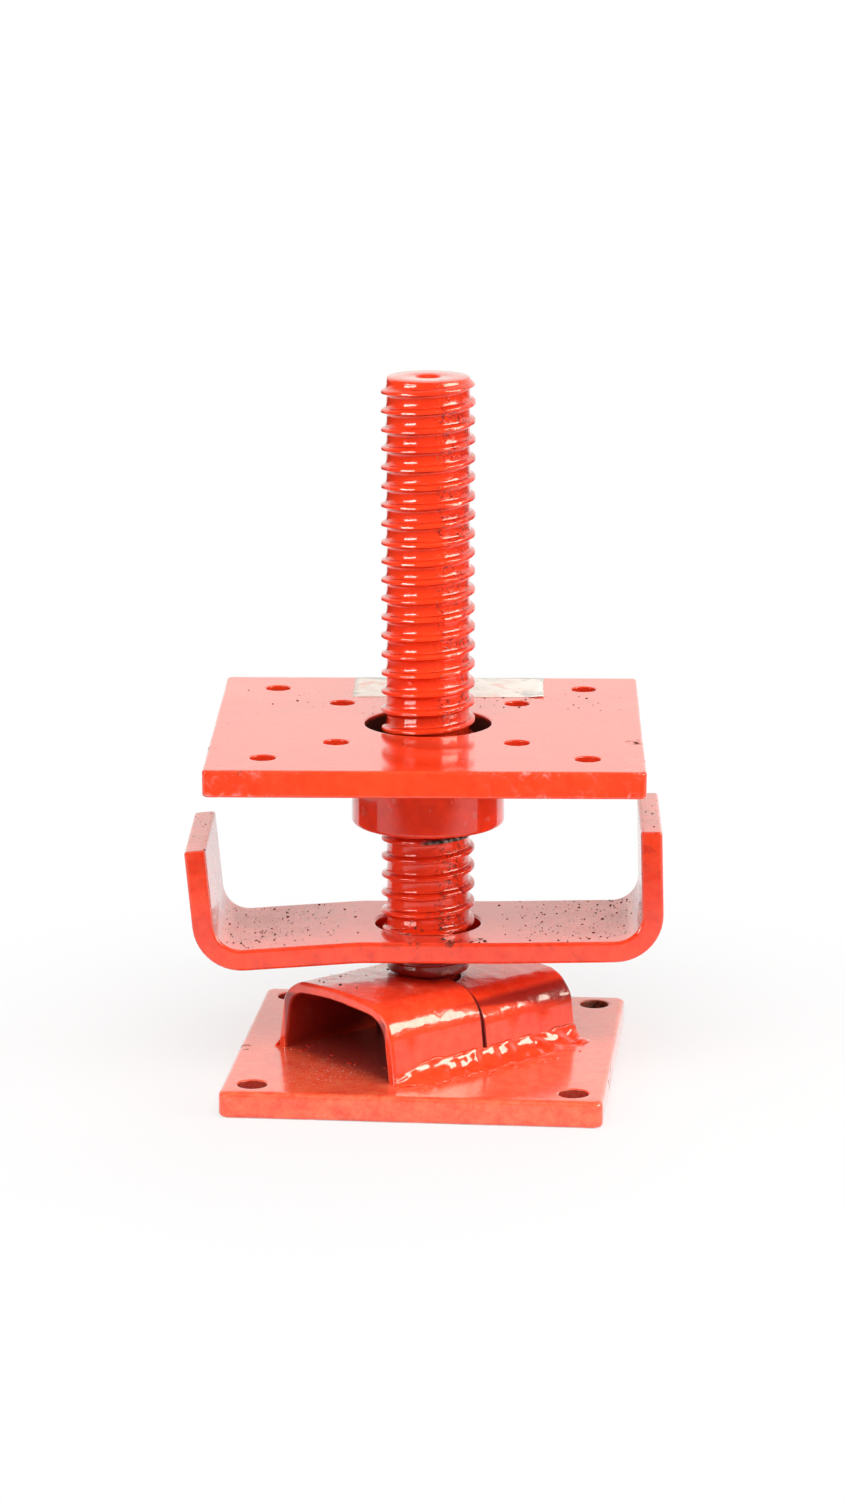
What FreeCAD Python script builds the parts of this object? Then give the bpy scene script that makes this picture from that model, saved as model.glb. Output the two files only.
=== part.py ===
import FreeCAD, Part
import math
import os
from FreeCAD import Vector

# Screw jack for the end of a timber prop: a nut plate that is nailed to the timber rides on a
# screw, and the screw is turned by a bent handle while its foot swivels in a saddle on a base plate.
# Lengths are in millimetres and angles in degrees. The origin is on the floor under the screw,
# +Z runs up the screw, and X and Y run along the sides of the base plate.

# Base plate
BASE_SIDE = 112.6
BASE_THICK = 8.0
BASE_CORNER_R = 2.5
BASE_EDGE_EASE = 0.8
BASE_HOLE_D = 8.6
BASE_HOLE_MARGIN = 9.1

# Saddle, pressed in two halves that meet under the handle, the right one lower and askew
SADDLE_LENGTH = 72.0
SADDLE_WIDTH = 55.0
SADDLE_HEIGHT = 23.4
SADDLE_SHEET = 3.6
SADDLE_BEND_R = 6.4
SADDLE_LEG_SPLAY = 9.0
SADDLE_CROWN = 1.8
SADDLE_CROWN_R = 80.0
SADDLE_SEAM = 0.8
SADDLE_RIGHT_DROP = 1.6
SADDLE_LEFT_TURN = 1.0
SADDLE_RIGHT_TURN = 3.5
SADDLE_TURN = 45.0
SADDLE_WELD_LEG = 4.5

# Screw, with the thread's crests and roots as plain diameters
SCREW_D = 28.0
THREAD_DEPTH = 1.7
SCREW_LENGTH = 203.0
SCREW_TIP_CHAMFER = 1.4
NECK_D = 18.0
NECK_CLEARANCE = 1.0
HEAD_END_PLAY = 2.0
HEAD_CHAMFER = 1.5
SHOULDER_GAP = 0.3
CENTRE_MOUTH_D = 7.5
CENTRE_PILOT_D = 2.5
CENTRE_PILOT_DEPTH = 4.0
CENTRE_CONE = 60.0

# Handle, a flat bar bent up at both ends, out of true as years of use have left it
HANDLE_STANDOFF = 7.9
HANDLE_BAR_WIDTH = 50.0
HANDLE_BAR_THICK = 6.4
HANDLE_BAR_EDGE_EASE = 0.8
HANDLE_FLAT_MARGIN = 4.35
HANDLE_BEND_R = 8.0
HANDLE_HOLE_CLEARANCE = 1.65
HANDLE_LEFT_REACH = 65.0
HANDLE_LEFT_RISE = 34.0
HANDLE_LEFT_DROOP = 4.2
HANDLE_LEFT_SPLAY = 5.5
HANDLE_RIGHT_REACH = 67.0
HANDLE_RIGHT_RISE = 40.5
HANDLE_RIGHT_DROOP = -1.0
HANDLE_RIGHT_SPLAY = -1.5
HANDLE_KINK_R = 40.0
HANDLE_TURN = 4.5
HANDLE_WELD_LAP = 1.5
HANDLE_WELD_DROP = 2.4

# Nut collar and the plate that it is welded under
COLLAR_D = 45.6
COLLAR_HEIGHT = 22.2
COLLAR_RIM_CHAMFER = 1.2
COLLAR_MOUTH_CHAMFER = 1.2
THREAD_CLEARANCE = 0.3
COLLAR_WELD_LEG = 4.0
PLATE_SIDE = 127.0
PLATE_THICK = 8.0
PLATE_CORNER_R = 1.6
PLATE_EDGE_EASE = 0.7
PLATE_HOLE_CLEARANCE = 4.8
PLATE_NAIL_D = 7.4
PLATE_OUTER_MARGIN = 16.7
PLATE_INNER_SPACING = 52.8
PLATE_TURN = 4.5
NUT_ABOVE_HANDLE = 31.0

# Sizes and heights that follow from those above
ROOT_R = SCREW_D / 2 - THREAD_DEPTH
NOTCH_R = NECK_D / 2 + NECK_CLEARANCE
HANDLE_HOLE_R = SCREW_D / 2 + HANDLE_HOLE_CLEARANCE
HANDLE_FLAT_HALF = HANDLE_HOLE_R + HANDLE_FLAT_MARGIN
PLATE_HOLE_R = SCREW_D / 2 + PLATE_HOLE_CLEARANCE
BASE_HOLE_SPACING = BASE_SIDE - 2 * BASE_HOLE_MARGIN
PLATE_OUTER_SPACING = PLATE_SIDE - 2 * PLATE_OUTER_MARGIN
Z_BASE_TOP = BASE_THICK
Z_SADDLE_TOP = Z_BASE_TOP + SADDLE_HEIGHT
Z_HEAD_TOP = Z_SADDLE_TOP - SADDLE_RIGHT_DROP - SADDLE_SHEET - HEAD_END_PLAY
Z_SHOULDER = Z_SADDLE_TOP + SHOULDER_GAP
Z_HANDLE = Z_SHOULDER + HANDLE_STANDOFF
Z_COLLAR = Z_HANDLE + HANDLE_BAR_THICK + NUT_ABOVE_HANDLE
Z_PLATE = Z_COLLAR + COLLAR_HEIGHT
Z_SCREW_TOP = Z_BASE_TOP + SCREW_LENGTH

UP = Vector(0, 0, 1)
ORIGIN = Vector(0, 0, 0)


def corner_arc(before, corner, after, radius):
    """Start, middle and end of the arc that rounds a corner of an outline."""
    if radius == 0:
        return corner, corner, corner
    back = (before - corner).normalize()
    ahead = (after - corner).normalize()
    half = back.getAngle(ahead) / 2
    setback = radius / math.tan(half)
    inward = (back + ahead).normalize()
    centre = corner + inward * (radius / math.sin(half))
    return corner + back * setback, centre - inward * radius, corner + ahead * setback


def rounded_outline(corners):
    """Closed wire through (point, radius) corners, rounded by tangent arcs."""
    count = len(corners)
    arcs = []
    for i, (point, radius) in enumerate(corners):
        before = corners[i - 1][0]
        after = corners[(i + 1) % count][0]
        arcs.append(corner_arc(before, point, after, radius))
    edges = []
    for i, (start, middle, end) in enumerate(arcs):
        if corners[i][1] > 0:
            edges.append(Part.Arc(start, middle, end).toShape())
        edges.append(Part.LineSegment(end, arcs[(i + 1) % count][0]).toShape())
    return Part.Wire(edges)


def bent_strip(path, thickness, width):
    """Flat bar bent along a path of (x, z, inside bend radius) points on its mid-plane, centred on Y."""
    points = [Vector(x, 0, z) for x, z, _ in path]
    runs = [(b - a).normalize() for a, b in zip(points, points[1:])]
    normals = [Vector(-run.z, 0, run.x) for run in runs]
    left = []
    right = []
    for i, (point, (_, _, radius)) in enumerate(zip(points, path)):
        first = normals[max(i - 1, 0)]
        second = normals[min(i, len(normals) - 1)]
        offset = (first + second) * (thickness / 2 / (1 + first.dot(second)))
        turns_left = first.cross(second).y < 0
        outside = radius + thickness if radius else 0
        left.append((point + offset, radius if turns_left else outside))
        right.append((point - offset, outside if turns_left else radius))
    face = Part.Face(rounded_outline(left + right[::-1]))
    strip = face.extrude(Vector(0, width, 0))
    strip.translate(Vector(0, -width / 2, 0))
    return strip


def turned(profile):
    """Solid of revolution about the screw's axis from an (r, z) outline."""
    points = [Vector(r, 0, z) for r, z in profile]
    face = Part.Face(Part.makePolygon(points + points[:1]))
    return face.revolve(ORIGIN, UP, 360)


def fillet_section(corner, along, upward):
    """Weld section in a corner, with a leg on each of the two faces that meet there."""
    return Part.Face(Part.makePolygon([corner, corner + along, corner + upward, corner]))


def square_holes(diameter, spacing, z, depth):
    """Four drill holes on the corners of a square."""
    half = spacing / 2
    return [
        Part.makeCylinder(diameter / 2, depth, Vector(sx * half, sy * half, z))
        for sx in (-1, 1)
        for sy in (-1, 1)
    ]


def plate_blank(side, thickness, corner_r, ease, z):
    """Square plate with rounded corners and eased edges."""
    blank = Part.makeBox(side, side, thickness, Vector(-side / 2, -side / 2, z))
    uprights = [e for e in blank.Edges if abs(e.tangentAt(e.FirstParameter).z) > 0.5]
    blank = blank.makeFillet(corner_r, uprights)
    rims = [e for e in blank.Edges if e.BoundBox.ZLength < ease]
    return blank.makeChamfer(ease, rims)


def rotated(shape, angle):
    """The shape turned about the screw's axis."""
    shape.rotate(ORIGIN, UP, angle)
    return shape


def base_plate():
    blank = plate_blank(BASE_SIDE, BASE_THICK, BASE_CORNER_R, BASE_EDGE_EASE, 0)
    return blank.cut(square_holes(BASE_HOLE_D, BASE_HOLE_SPACING, 0, BASE_THICK))


def far_side_of_seam(side, clearance):
    """Block that takes away everything across the seam from one half of the saddle."""
    reach = 2 * SADDLE_LENGTH
    block = Part.makeBox(2 * reach, reach, 2 * reach, Vector(-reach, -reach, -reach))
    block.translate(Vector(0, clearance, 0))
    return rotated(block, 0 if side > 0 else 180)


def saddle_half(side, height, turn):
    """Half of the saddle: a crowned arch over the screw's head with half of the neck's hole in its roof.

    The arch spans X before it is turned into place, and side is -1 or +1 along its length.
    """
    splay = math.radians(SADDLE_LEG_SPLAY)
    ridge = height - SADDLE_SHEET / 2
    eave = ridge - SADDLE_CROWN
    foot = SADDLE_WIDTH / 2 - SADDLE_SHEET / 2 / math.cos(splay)
    shoulder = foot - eave * math.tan(splay)
    tail = SADDLE_SHEET
    below = foot + tail * math.tan(splay)
    path = [
        (-below, -tail, 0),
        (-shoulder, eave, SADDLE_BEND_R),
        (0, ridge, SADDLE_CROWN_R),
        (shoulder, eave, SADDLE_BEND_R),
        (below, -tail, 0),
    ]
    arch = rotated(bent_strip(path, SADDLE_SHEET, SADDLE_LENGTH), turn)
    floor = Part.makeBox(4 * SADDLE_WIDTH, 4 * SADDLE_LENGTH, 2 * tail)
    floor.translate(Vector(-2 * SADDLE_WIDTH, -2 * SADDLE_LENGTH, -2 * tail))
    neck_hole = Part.makeCylinder(NOTCH_R, 2 * SADDLE_HEIGHT)
    arch = arch.cut([floor, far_side_of_seam(side, SADDLE_SEAM / 2), neck_hole])
    arch.translate(Vector(0, 0, Z_BASE_TOP))
    return rotated(arch, SADDLE_TURN - 90)


def saddle_weld(side):
    """Fillet weld along one side of both halves, carried round the corners at their outer ends."""
    splay = math.radians(SADDLE_LEG_SPLAY)
    toe = Vector(side * SADDLE_WELD_LEG, 0, 0)
    leg_up = Vector(-side * math.sin(splay), 0, math.cos(splay)) * SADDLE_WELD_LEG
    beads = []
    for end, turn in ((-1, SADDLE_LEFT_TURN), (1, SADDLE_RIGHT_TURN)):
        corner = Vector(side * SADDLE_WIDTH / 2, end * SADDLE_LENGTH / 2, Z_BASE_TOP)
        run = fillet_section(corner, toe, leg_up).extrude(Vector(0, -end * SADDLE_LENGTH, 0))
        lap = fillet_section(corner, toe, UP * SADDLE_WELD_LEG).revolve(corner, UP, side * end * 90)
        beads.append(rotated(run.fuse(lap), turn).cut(far_side_of_seam(end, 0)))
    bead = beads[0].fuse(beads[1]).removeSplitter()
    return rotated(bead, SADDLE_TURN - 90)


def jack_screw():
    """Screw bar with its turned neck and head at the foot and a lathe centre in its top end."""
    crest = SCREW_D / 2
    neck = NECK_D / 2
    mouth = CENTRE_MOUTH_D / 2
    pilot = CENTRE_PILOT_D / 2
    cone_floor = Z_SCREW_TOP - (mouth - pilot) / math.tan(math.radians(CENTRE_CONE / 2))
    return turned([
        (0, Z_BASE_TOP),
        (ROOT_R - HEAD_CHAMFER, Z_BASE_TOP),
        (ROOT_R, Z_BASE_TOP + HEAD_CHAMFER),
        (ROOT_R, Z_HEAD_TOP - HEAD_CHAMFER / 2),
        (ROOT_R - HEAD_CHAMFER / 2, Z_HEAD_TOP),
        (neck, Z_HEAD_TOP),
        (neck, Z_SHOULDER),
        (ROOT_R, Z_SHOULDER),
        (ROOT_R, Z_HANDLE),
        (crest, Z_HANDLE),
        (crest, Z_SCREW_TOP - SCREW_TIP_CHAMFER),
        (crest - SCREW_TIP_CHAMFER, Z_SCREW_TOP),
        (mouth, Z_SCREW_TOP),
        (pilot, cone_floor),
        (pilot, cone_floor - CENTRE_PILOT_DEPTH),
        (0, cone_floor - CENTRE_PILOT_DEPTH - pilot),
    ])


def handle_wing(reach, rise, droop, splay):
    """Mid-plane points of one side of the bar, from the kink beside the hole to the arm's end."""
    mid = HANDLE_BAR_THICK / 2
    corner_z = mid - (reach - HANDLE_FLAT_HALF) * math.tan(math.radians(droop))
    tip_x = reach + (rise - corner_z) * math.tan(math.radians(splay))
    return [(HANDLE_FLAT_HALF, mid, HANDLE_KINK_R), (reach, corner_z, HANDLE_BEND_R), (tip_x, rise, 0)]


def turning_handle():
    """Flat bar bent up at both ends, with a clear hole for the screw."""
    left = handle_wing(HANDLE_LEFT_REACH, HANDLE_LEFT_RISE, HANDLE_LEFT_DROOP, HANDLE_LEFT_SPLAY)
    right = handle_wing(HANDLE_RIGHT_REACH, HANDLE_RIGHT_RISE, HANDLE_RIGHT_DROOP, HANDLE_RIGHT_SPLAY)
    path = [(-x, z, r) for x, z, r in reversed(left)] + right
    bar = bent_strip(path, HANDLE_BAR_THICK, HANDLE_BAR_WIDTH)
    side = HANDLE_BAR_WIDTH / 2
    rims = [e for e in bar.Edges if e.BoundBox.YLength < 1e-6 and abs(abs(e.BoundBox.YMin) - side) < 1e-6]
    bar = bar.makeChamfer(HANDLE_BAR_EDGE_EASE, rims)
    bar = bar.cut(Part.makeCylinder(HANDLE_HOLE_R, 2 * HANDLE_BAR_THICK, Vector(0, 0, -HANDLE_BAR_THICK / 2)))
    bar.translate(Vector(0, 0, Z_HANDLE))
    return rotated(bar, HANDLE_TURN)


def ring_weld(inner_r, z, width, rise):
    """Fillet weld round the screw's axis, from a flat face at z towards rise."""
    corner = Vector(inner_r, 0, z)
    section = fillet_section(corner, Vector(width, 0, 0), Vector(0, 0, rise))
    return section.revolve(ORIGIN, UP, 360)


def handle_weld():
    """Bead under the bar that fills the gap round the screw."""
    width = HANDLE_HOLE_R + HANDLE_WELD_LAP - ROOT_R
    return ring_weld(ROOT_R, Z_HANDLE, width, -HANDLE_WELD_DROP)


def nut_collar():
    """Round nut with a chamfered lower rim and a chamfered mouth at both ends of its bore."""
    outer = COLLAR_D / 2
    bore = SCREW_D / 2 + THREAD_CLEARANCE
    mouth = bore + COLLAR_MOUTH_CHAMFER
    return turned([
        (mouth, Z_COLLAR),
        (outer - COLLAR_RIM_CHAMFER, Z_COLLAR),
        (outer, Z_COLLAR + COLLAR_RIM_CHAMFER),
        (outer, Z_PLATE),
        (mouth, Z_PLATE),
        (bore, Z_PLATE - COLLAR_MOUTH_CHAMFER),
        (bore, Z_COLLAR + COLLAR_MOUTH_CHAMFER),
    ])


def nut_weld():
    """Bead between the collar and the underside of the plate."""
    return ring_weld(COLLAR_D / 2, Z_PLATE, COLLAR_WELD_LEG, -COLLAR_WELD_LEG)


def top_plate():
    """Plate for the timber's end, with a wide hole for the screw and two squares of nail holes."""
    blank = plate_blank(PLATE_SIDE, PLATE_THICK, PLATE_CORNER_R, PLATE_EDGE_EASE, Z_PLATE)
    drills = [Part.makeCylinder(PLATE_HOLE_R, PLATE_THICK, Vector(0, 0, Z_PLATE))]
    for spacing in (PLATE_OUTER_SPACING, PLATE_INNER_SPACING):
        drills += square_holes(PLATE_NAIL_D, spacing, Z_PLATE, PLATE_THICK)
    return rotated(blank.cut(drills), PLATE_TURN)


PIECES = {
    "base_plate": base_plate(),
    "saddle_left": saddle_half(-1, SADDLE_HEIGHT, SADDLE_LEFT_TURN),
    "saddle_right": saddle_half(1, SADDLE_HEIGHT - SADDLE_RIGHT_DROP, SADDLE_RIGHT_TURN),
    "saddle_weld_front": saddle_weld(1),
    "saddle_weld_rear": saddle_weld(-1),
    "jack_screw": jack_screw(),
    "turning_handle": turning_handle(),
    "handle_weld": handle_weld(),
    "nut_collar": nut_collar(),
    "nut_weld": nut_weld(),
    "top_plate": top_plate(),
}

os.makedirs("parts", exist_ok=True)
for name, shape in PIECES.items():
    if len(shape.Solids) != 1 or not shape.isValid():
        raise ValueError(name + " is not one valid solid")
    shape.Solids[0].exportStep("parts/" + name + ".step")
    box = shape.BoundBox
    low = (round(box.XMin, 2), round(box.YMin, 2), round(box.ZMin, 2))
    high = (round(box.XMax, 2), round(box.YMax, 2), round(box.ZMax, 2))
    print(name, round(shape.Volume, 1), low, high)
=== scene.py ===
import math
import random

import bmesh
import bpy
from mathutils import Matrix, Vector, noise
from mathutils.bvhtree import BVHTree


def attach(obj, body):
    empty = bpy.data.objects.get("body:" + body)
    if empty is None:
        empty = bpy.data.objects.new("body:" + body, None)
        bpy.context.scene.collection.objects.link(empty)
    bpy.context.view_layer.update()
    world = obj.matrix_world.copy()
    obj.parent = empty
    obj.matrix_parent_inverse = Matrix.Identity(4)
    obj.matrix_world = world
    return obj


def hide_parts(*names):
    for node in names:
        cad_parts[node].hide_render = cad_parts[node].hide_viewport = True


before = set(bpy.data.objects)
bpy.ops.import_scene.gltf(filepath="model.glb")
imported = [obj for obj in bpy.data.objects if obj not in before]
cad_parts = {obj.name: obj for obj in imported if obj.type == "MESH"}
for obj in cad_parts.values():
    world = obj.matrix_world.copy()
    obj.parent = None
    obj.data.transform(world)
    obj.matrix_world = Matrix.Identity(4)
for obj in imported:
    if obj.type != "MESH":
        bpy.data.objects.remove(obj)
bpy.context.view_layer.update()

# Timber jack in glossy orange-red enamel: threaded screw, bent bar handle, welded saddle and two plates

# Shapes are drawn in millimetres and scaled to metres at the end
MM = 0.001

# Heights on the screw's axis
Z_BASE_TOP = 8.0
Z_HEAD_TOP = 24.2
Z_SHOULDER = 31.7
Z_HANDLE = 39.6
Z_COLLAR = 77.0
Z_PLATE = 99.2
Z_PLATE_TOP = 107.2
Z_SCREW_TOP = 211.0

# Screw
PITCH = 5.6
ROOT_R, CREST_R, NECK_R = 12.3, 14.0, 9.0
TURN_STEPS = 112
THREAD_START, THREAD_TURNS = 23.62, 35
THREAD_RUNOUT, THREAD_FADE = 35.0, 3.0
SHANK_TOP = THREAD_RUNOUT - 1
SCREW_EASE = 0.5

# One turn of the thread as (height, radius)
THREAD_FORM = (
    (0.00, 12.28), (0.09, 12.72), (0.20, 13.40), (0.30, 13.82), (0.40, 13.97), (0.50, 14.00),
    (0.68, 13.975), (0.86, 13.95), (1.04, 13.92), (1.22, 13.88), (1.38, 13.78), (1.52, 13.56),
    (1.66, 13.24), (1.80, 12.92), (1.96, 12.68), (2.16, 12.54), (2.50, 12.45), (2.90, 12.38),
    (3.40, 12.32), (3.90, 12.30), (4.60, 12.295), (5.60, 12.28),
)

# Lumpy paint on the thread: its bearing in degrees and its reach to either side
LUMPY_FRONT = (-42.0, 38.0)
LUMPY_BACK = (120.0, 60.0)

# End of the screw and its lathe centre as (radius, depth)
LATHE_CENTRE = ((8.0, 0.0), (4.1, 0.0), (3.8, 0.15), (3.6, 0.5), (1.3, 4.4), (1.25, 8.4))

# Plates
BASE_SIDE, BASE_CORNER, BASE_EDGE = 112.6, 2.5, 1.5
BASE_HOLE_R, BASE_HOLE_SPACING = 4.3, 94.4
PLATE_SIDE, PLATE_CORNER, PLATE_EDGE = 127.0, 1.6, 0.9
PLATE_HOLE_R, NAIL_R = 18.8, 3.7
PLATE_OUTER_SPACING, PLATE_INNER_SPACING = 93.6, 52.8
PLATE_THICK = 8.0
PLATE_TURN = 4.5
PLATE_CUTS, PLATE_RING = 47, 0.6
HOLE_RING, HOLE_EASE = 0.9, 0.45
WIDE_HOLE_R, WIDE_HOLE_STEPS, HOLE_STEPS = 8.0, 80, 40
NICK_BAND = 3.0

# Saddle
SADDLE_LENGTH, SADDLE_WIDTH, SADDLE_HEIGHT = 72.0, 55.0, 23.4
SADDLE_SHEET, SADDLE_BEND_R, SADDLE_SPLAY = 3.6, 6.4, 9.0
SADDLE_CROWN_SLOPE, SADDLE_CROWN_HALF = 0.080, 6.5
SADDLE_SEAM, SADDLE_NOTCH_R, SADDLE_OVERLAP = 1.0, 10.0, 4.0
SADDLE_RIGHT_DROP = 1.6
SADDLE_LEFT_TURN, SADDLE_RIGHT_TURN = 1.0, 3.5
SADDLE_TURN = -45.0
SADDLE_EASE, SADDLE_END_EASE = 0.45, 1.0
ROOF_CUTS = (-11.7, -8.3, -5.6, -2.8, 0.0, 2.8, 5.6, 8.3, 11.7)
SLICES, SLICE_START, SLICE_STEP, SLICE_SLACK = 27, 2.2, 1.19, 0.3

# Welds of the saddle: points of the fillet, and stations with the length of bead at each
WELD_LEG, WELD_POINTS = 4.5, 14
WELD_END_STEPS, WELD_END_STEP = 9, 0.7
WELD_SIDE_STEPS, WELD_SIDE_FROM, WELD_SIDE_TO, WELD_TO = 180, 6.3, 79.0, 85.3

# Drops are (place along, length, place across, height) and spatter is (count, across, along)
FRONT_WELD = dict(
    side=1, seed=1.0, run_in=13,
    drops=(
        (9.0, 2.2, 3.0, 1.2), (15.5, 3.0, 3.5, 1.3), (21.5, 2.2, 4.5, 1.0), (28.0, 3.2, 4.0, 1.1),
        (35.0, 2.4, 5.0, 0.9), (48.0, 4.0, 4.0, 0.6), (57.0, 5.0, 4.5, 0.9), (64.5, 3.0, 4.0, 1.0),
        (76.5, 2.5, 3.0, 0.9),
    ),
    fields=((34, (33.0, 38.0), (-34.0, 31.0)),),
)
REAR_WELD = dict(
    side=-1, seed=5.0, run_in=22,
    drops=((12.0, 3.0, 4.0, 0.9), (26.0, 4.0, 4.0, 0.7), (41.0, 3.0, 3.0, 1.0), (60.0, 3.0, 4.0, 0.9)),
    fields=(
        (10, (-38.0, -33.0), (-30.0, 30.0)), (14, (-21.0, -12.0), (-36.0, -28.0)),
        (9, (-12.0, 21.0), (-33.0, -26.0)),
    ),
)

# Handle
BAR_WIDTH, BAR_THICK, BAR_BEND_R, BAR_KINK_R = 50.0, 6.4, 8.0, 40.0
BAR_FLAT_HALF, BAR_HOLE_R = 20.0, 15.65
BAR_HOLE_RING, BAR_HOLE_STEPS, BAR_EASE = 1.0, 72, 1.1
LEFT_WING = dict(reach=65.0, rise=34.0, droop=4.2, splay=5.5)
RIGHT_WING = dict(reach=67.0, rise=40.5, droop=-1.0, splay=-1.5)
HANDLE_TURN = 4.5
HANDLE_WELD_STEPS = 160

# Nut collar and its weld
COLLAR_R, COLLAR_BORE_R, COLLAR_MOUTH = 22.8, 14.3, 1.2
COLLAR_STEPS, COLLAR_RIM_EASE, COLLAR_EASE = 96, 1.3, 0.3
NUT_WELD_LEG, NUT_WELD_STEPS, NUT_WELD_SEED = 4.0, 150, 8.0
BEAD_POINTS = 10

# Label, with the place and reach of its curled corner
LABEL_SIZE, LABEL_PLACE, LABEL_THICK = (58.0, 27.5), (5.5, 48.4), 0.08
LABEL_CURL, LABEL_CURL_REACH, LABEL_CURL_RISE = (34.5, 34.7), 7.0, 0.5

# Fields of dirt as (count, X range, Y range, largest radius)
PLATE_DIRT = ((34, (10, 58), (16, 40), 0.40), (16, (-58, -10), (10, 45), 0.40))
SPILT_DIRT = (14, (2, 20), (-24.5, -19), 0.6)

# Dirt on both wings of the handle as (count, from, to, half width, largest radius)
WING_DIRT = ((60, 42, 61, 23, 0.40), (22, 20, 42, 24, 0.36), (9, 63, 71, 24, 0.42))
WING_FINE_DIRT = ((110, 26, 61, 23.5, 0.30),)

# Modelling
MERGE, THREAD_MERGE, SADDLE_MERGE = 0.004, 0.01, 0.03
CUT_SLACK = 0.002
NEAR_ENOUGH = 0.01
CRISP_ANGLE = 48
ABOVE_ALL = 100.0

# Colours of the paint, what spoils it, the painted shade, and the label
ENAMEL = (0.88, 0.043, 0.008)
ENAMEL_DEEP = (0.76, 0.028, 0.006)
ENAMEL_PALE = (0.92, 0.062, 0.012)
# Dark enamel, both for thin paint and for painted shade
ENAMEL_THIN_AND_SHADE = (0.26, 0.008, 0.006)
HAZE = (0.95, 0.26, 0.11)
DUST = (0.52, 0.44, 0.40)
# Near black, both for grime and for painted shade
GRIME_AND_SHADE = (0.035, 0.016, 0.010)
PRIMER = (0.045, 0.012, 0.010)
RUST, RUST_DARK = (0.24, 0.11, 0.045), (0.05, 0.02, 0.012)
STEEL, STEEL_DARK = (0.30, 0.29, 0.28), (0.07, 0.06, 0.055)
GRAIN_BLACK, GRAIN_BROWN = (0.020, 0.014, 0.012), (0.085, 0.045, 0.022)
PAPER, PAPER_STAINED = (0.90, 0.84, 0.76), (0.80, 0.68, 0.60)
PAPER_RUBBED, PAPER_SMUDGED = (0.82, 0.42, 0.34), (0.30, 0.31, 0.30)
PAPER_FIBRE = (0.80, 0.77, 0.72)

# Studio, in metres and degrees
WHITE, WARM_WHITE, FLOOR_GREY = (1, 1, 1), (1, 0.965, 0.915), (0.76, 0.76, 0.76)
FLOOR_HALF = 12
LAMP_AIM = (0, 0, 0.10)
LENS, SENSOR_WIDTH = 117.44, 36.0
VIEW_AZIMUTH, VIEW_HEIGHT, VIEW_DISTANCE = 5.60, 13.115, 1.4562
VIEW_AIM_HEIGHT, VIEW_AIM_LEFT = 0.09879, 0.0018


def verts_of(geom):
    return [g for g in geom if isinstance(g, bmesh.types.BMVert)]


def edges_of(geom):
    return [g for g in geom if isinstance(g, bmesh.types.BMEdge)]


def faces_of(geom):
    return [g for g in geom if isinstance(g, bmesh.types.BMFace)]


def everything(bm):
    return bm.verts[:] + bm.edges[:] + bm.faces[:]


def rough(point, size, seed=0.0):
    """Smooth unevenness from -1 to 1 with features of about that size in millimetres."""
    return noise.noise(Vector(point) / size + Vector((seed, 3.1 * seed, -1.7 * seed)))


def merge(bm, distance=MERGE):
    bmesh.ops.remove_doubles(bm, verts=bm.verts[:], dist=distance)


def face_out(bm):
    bmesh.ops.recalc_face_normals(bm, faces=bm.faces[:])


def cut(bm, place, normal, slack=CUT_SLACK, **cleared):
    """Cuts a whole shape along a plane. cleared names a side to take away."""
    bmesh.ops.bisect_plane(bm, geom=everything(bm), dist=slack, plane_co=place, plane_no=normal, **cleared)


def turn_about_screw(bm, degrees):
    turn = Matrix.Rotation(math.radians(degrees), 3, "Z")
    bmesh.ops.rotate(bm, cent=(0, 0, 0), matrix=turn, verts=bm.verts[:])


def placed(bm, degrees, z):
    """Turns a shape about the screw and lifts it to its height."""
    turn_about_screw(bm, degrees)
    bmesh.ops.translate(bm, vec=(0, 0, z), verts=bm.verts[:])
    return bm


def thicken(bm, thickness):
    """Gives a flat sheet its thickness, upwards or downwards."""
    sheet = bmesh.ops.extrude_face_region(bm, geom=bm.faces[:])["geom"]
    bmesh.ops.translate(bm, vec=(0, 0, thickness), verts=verts_of(sheet))
    face_out(bm)


def sharp_edges(bm, angle):
    limit = math.radians(angle)
    return [e for e in bm.edges if len(e.link_faces) == 2 and e.calc_face_angle() > limit]


def ease(bm, edges, offset, segments):
    """Rounds edges over."""
    bmesh.ops.bevel(
        bm, geom=edges, offset=offset, offset_type="OFFSET", segments=segments, profile=0.5,
        affect="EDGES", clamp_overlap=True, loop_slide=True, material=-1,
    )


def far_rim(grown):
    """Edges of an extruded rim that lie wholly on its new side."""
    fresh = set(verts_of(grown))
    return [e for e in edges_of(grown) if all(v in fresh for v in e.verts)]


def hole_rim(bm, x, y, radius, ring, steps):
    """Mouth of a hole with a ring of faces round it. Gives the ring's outer edges."""
    place = Matrix.Translation((x, y, 0))
    mouth = bmesh.ops.create_circle(bm, cap_ends=False, radius=radius, segments=steps, matrix=place)["verts"]
    edges = list(dict.fromkeys(e for v in mouth for e in v.link_edges))
    wide = bmesh.ops.extrude_edge_only(bm, edges=edges)["geom"]
    grow = (radius + ring) / radius
    bmesh.ops.scale(bm, vec=(grow, grow, 1), space=place.inverted(), verts=verts_of(wide))
    return far_rim(wide)


def fill_flat(bm, rims):
    bmesh.ops.triangle_fill(bm, use_beauty=True, use_dissolve=False, edges=rims)


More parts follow.
